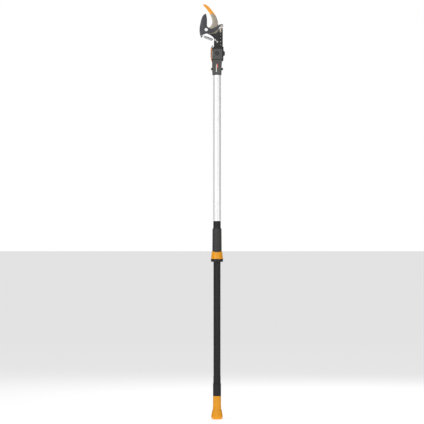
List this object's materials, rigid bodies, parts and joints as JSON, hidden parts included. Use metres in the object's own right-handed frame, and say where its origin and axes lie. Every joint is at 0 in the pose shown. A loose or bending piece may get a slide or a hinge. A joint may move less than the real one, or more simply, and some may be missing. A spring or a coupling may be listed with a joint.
{
  "type": "telescopic pole pruner",
  "caption": "Long-reach bypass pruner: hook and blade head that tilts on a telescopic pole, worked by a slide handle and an end pull knob through a strap, drum and chain.",
  "frame": {"origin": "centre of the pull knob's flat end face, on the pole axis", "axes": "+Z along the pole towards the head; the jaw opens towards -X; the blade side (front) faces -Y"},
  "size_m": [0.0962, 0.046, 1.5776],
  "materials": {
    "black_tube": "satin black coating",
    "silver_tube": "satin anodised",
    "black_plastic": "fine texture",
    "grey_plastic": "fine texture",
    "soft_black": "soft touch",
    "orange": "satin moulded",
    "blade_coat": "low friction coating",
    "side_plate": "black coated",
    "hook_steel": "plated, orange coated tip",
    "steel": "zinc plated",
    "chain_black": "oiled black",
    "chain_pin": "plain",
    "spring_steel": "bright wire",
    "bronze": "plain bearing",
    "strap": "woven webbing",
    "nylon": "natural nylon"
  },
  "bodies": {
    "lower_pole": {"lower_tube": "black_tube", "end_ferrule": "black_plastic", "lower_band": "black_plastic", "lock_plug": "black_plastic", "lock_washer": "steel"},
    "lock_collar": {"lock_ring": "nylon"},
    "upper_pole": {"upper_tube": "silver_tube", "mouth_bush": "black_plastic", "housing_front": "grey_plastic", "housing_back": "black_plastic", "housing_screws": "steel", "cross_bolt": "steel", "cross_nut": "steel", "tilt_axle": "steel", "axle_nut": "steel", "axle_bushes": "bronze", "strap_saddle": "nylon", "upper_strap": "strap", "lever_pin": "steel"},
    "lock_lever": {"lock_lever": "orange", "lever_tip": "black_plastic", "lock_bar": "steel"},
    "head": {"front_plate": "side_plate", "back_plate": "side_plate", "hook_plate": "hook_steel", "plate_spacers": "steel", "plate_rivet": "steel", "spring_anchor": "steel", "pivot_bolt": "steel", "pivot_nut": "steel", "return_spring": "spring_steel"},
    "blade": {"blade": "blade_coat", "blade_bush": "bronze"},
    "drive_chain": {"chain_end_link": "hook_steel", "chain_inner_plates": "chain_black", "chain_outer_plates": "chain_black", "chain_pins": "chain_pin", "chain_rollers": "chain_pin", "arm_pin": "steel"},
    "strap_drum": {"strap_drum": "steel", "drum_strap": "strap"},
    "slide_handle": {"slide_sleeve": "soft_black", "slide_flare": "orange", "slide_lip": "black_plastic", "slide_bushes": "nylon", "strap_carriage": "black_plastic", "carriage_screws": "steel", "lower_strap": "strap"},
    "pull_knob": {"knob_shell": "orange", "knob_core": "black_plastic", "knob_screw": "steel", "knob_cap": "black_plastic", "knob_strap": "strap"}
  },
  "joints": [
    {"name": "twist_lock", "type": "hinge", "parent": "lower_pole", "child": "lock_collar", "pos_m": [0, 0, 1.3], "axis": [0, 0, 1], "range_deg": [0, 90]},
    {"name": "telescope", "type": "slide", "parent": "lock_collar", "child": "upper_pole", "axis": [0, 0, 1], "range_m": [0, 0.43]},
    {"name": "head_tilt", "type": "hinge", "parent": "upper_pole", "child": "head", "pos_m": [0, 0, 1.39], "axis": [0, 1, 0], "range_deg": [-30, 90]},
    {"name": "lever_press", "type": "hinge", "parent": "upper_pole", "child": "lock_lever", "pos_m": [-0.0148, 0, 1.3576], "axis": [0, 1, 0], "range_deg": [-14, 0], "stiffness_Nm_per_rad": 0.3, "springref_deg": 17.19},
    {"name": "blade_pivot", "type": "hinge", "parent": "head", "child": "blade", "pos_m": [-0.041, 0, 1.4805], "axis": [0, 1, 0], "range_deg": [0, 43], "stiffness_Nm_per_rad": 1, "springref_deg": -34.38, "deforming": ["return_spring"]},
    {"name": "chain_swing", "type": "hinge", "parent": "blade", "child": "drive_chain", "pos_m": [0.0175, 0, 1.4955], "axis": [0, 1, 0], "range_deg": [-47, 0]},
    {"name": "drum_spin", "type": "hinge", "parent": "head", "child": "strap_drum", "pos_m": [0, 0, 1.39], "axis": [0, 1, 0], "range_deg": [0, 235.73]},
    {"name": "handle_slide", "type": "slide", "parent": "lower_pole", "child": "slide_handle", "axis": [0, 0, -1], "range_m": [0, 0.072]},
    {"name": "knob_pull", "type": "slide", "parent": "lower_pole", "child": "pull_knob", "axis": [0, 0, -1], "range_m": [0, 0.072]}
  ],
  "couplings": [
    {"joint": "blade_pivot", "follows": "handle_slide", "rad_per_m": 10.423},
    {"joint": "chain_swing", "follows": "handle_slide", "rad_per_m": -11.393},
    {"joint": "drum_spin", "follows": "handle_slide", "rad_per_m": 57.142},
    {"joint": "knob_pull", "follows": "handle_slide", "ratio": 1}
  ]
}
